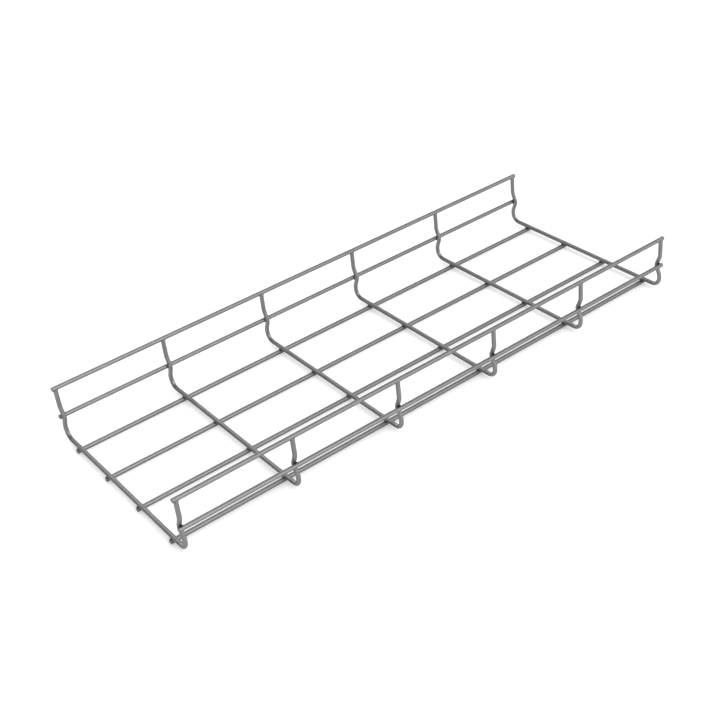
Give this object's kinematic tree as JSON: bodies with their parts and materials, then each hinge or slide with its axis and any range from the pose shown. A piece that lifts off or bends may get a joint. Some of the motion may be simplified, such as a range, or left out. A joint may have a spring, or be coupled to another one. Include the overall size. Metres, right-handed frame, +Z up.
{
  "type": "wire mesh cable basket",
  "caption": "Open U-shaped cable tray of welded round steel wire, with kinked side walls that seat the side wires and rails along both top edges.",
  "frame": {"origin": "under the middle of the tray, on the level surface that the floor wires rest on", "axes": "+X along the tray, +Y across it, +Z up out of its open top"},
  "size_m": [0.506, 0.1924, 0.0551],
  "materials": {
    "zinc_plated_wire": "dull grey zinc plating on drawn steel wire"
  },
  "bodies": {
    "root": {"cross_wire_1": "zinc_plated_wire", "cross_wire_2": "zinc_plated_wire", "cross_wire_3": "zinc_plated_wire", "cross_wire_4": "zinc_plated_wire", "cross_wire_5": "zinc_plated_wire", "cross_wire_6": "zinc_plated_wire", "floor_wire_1": "zinc_plated_wire", "floor_wire_2": "zinc_plated_wire", "floor_wire_3": "zinc_plated_wire", "floor_wire_4": "zinc_plated_wire", "side_wire_left": "zinc_plated_wire", "side_wire_right": "zinc_plated_wire", "top_rail_left": "zinc_plated_wire", "top_rail_right": "zinc_plated_wire"}
  },
  "joints": []
}
